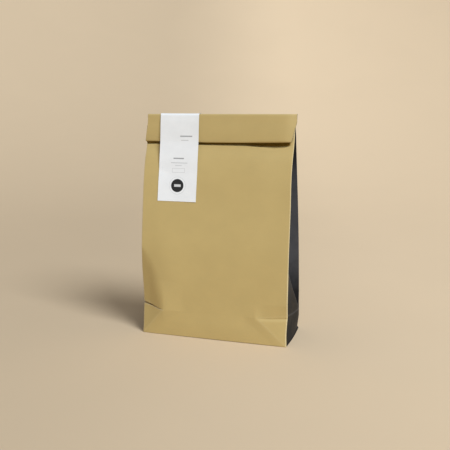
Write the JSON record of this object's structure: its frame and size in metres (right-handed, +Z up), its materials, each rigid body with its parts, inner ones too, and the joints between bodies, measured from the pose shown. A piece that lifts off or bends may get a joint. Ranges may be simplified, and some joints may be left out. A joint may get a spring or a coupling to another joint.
{
  "type": "paper bakery bag",
  "caption": "Shut, filled paper bag that stands on a flat folded base, with tucked black side gussets and a folded-over top held by a paper label.",
  "frame": {"origin": "middle of the base, on the surface that the bag stands on", "axes": "+Z up, -Y out of the front that carries the folded-over flap and the label, +X to the right of someone who looks at the front"},
  "size_m": [0.2212, 0.0888, 0.3237],
  "materials": {
    "bag_paper": "smooth matt golden kraft paper with a faint sheen",
    "gusset_paper": "matt black paper",
    "label_paper": "white matt label paper"
  },
  "bodies": {
    "root": {"bag_body": "bag_paper", "gusset_right": "gusset_paper", "gusset_left": "gusset_paper", "label": "label_paper"}
  },
  "joints": []
}
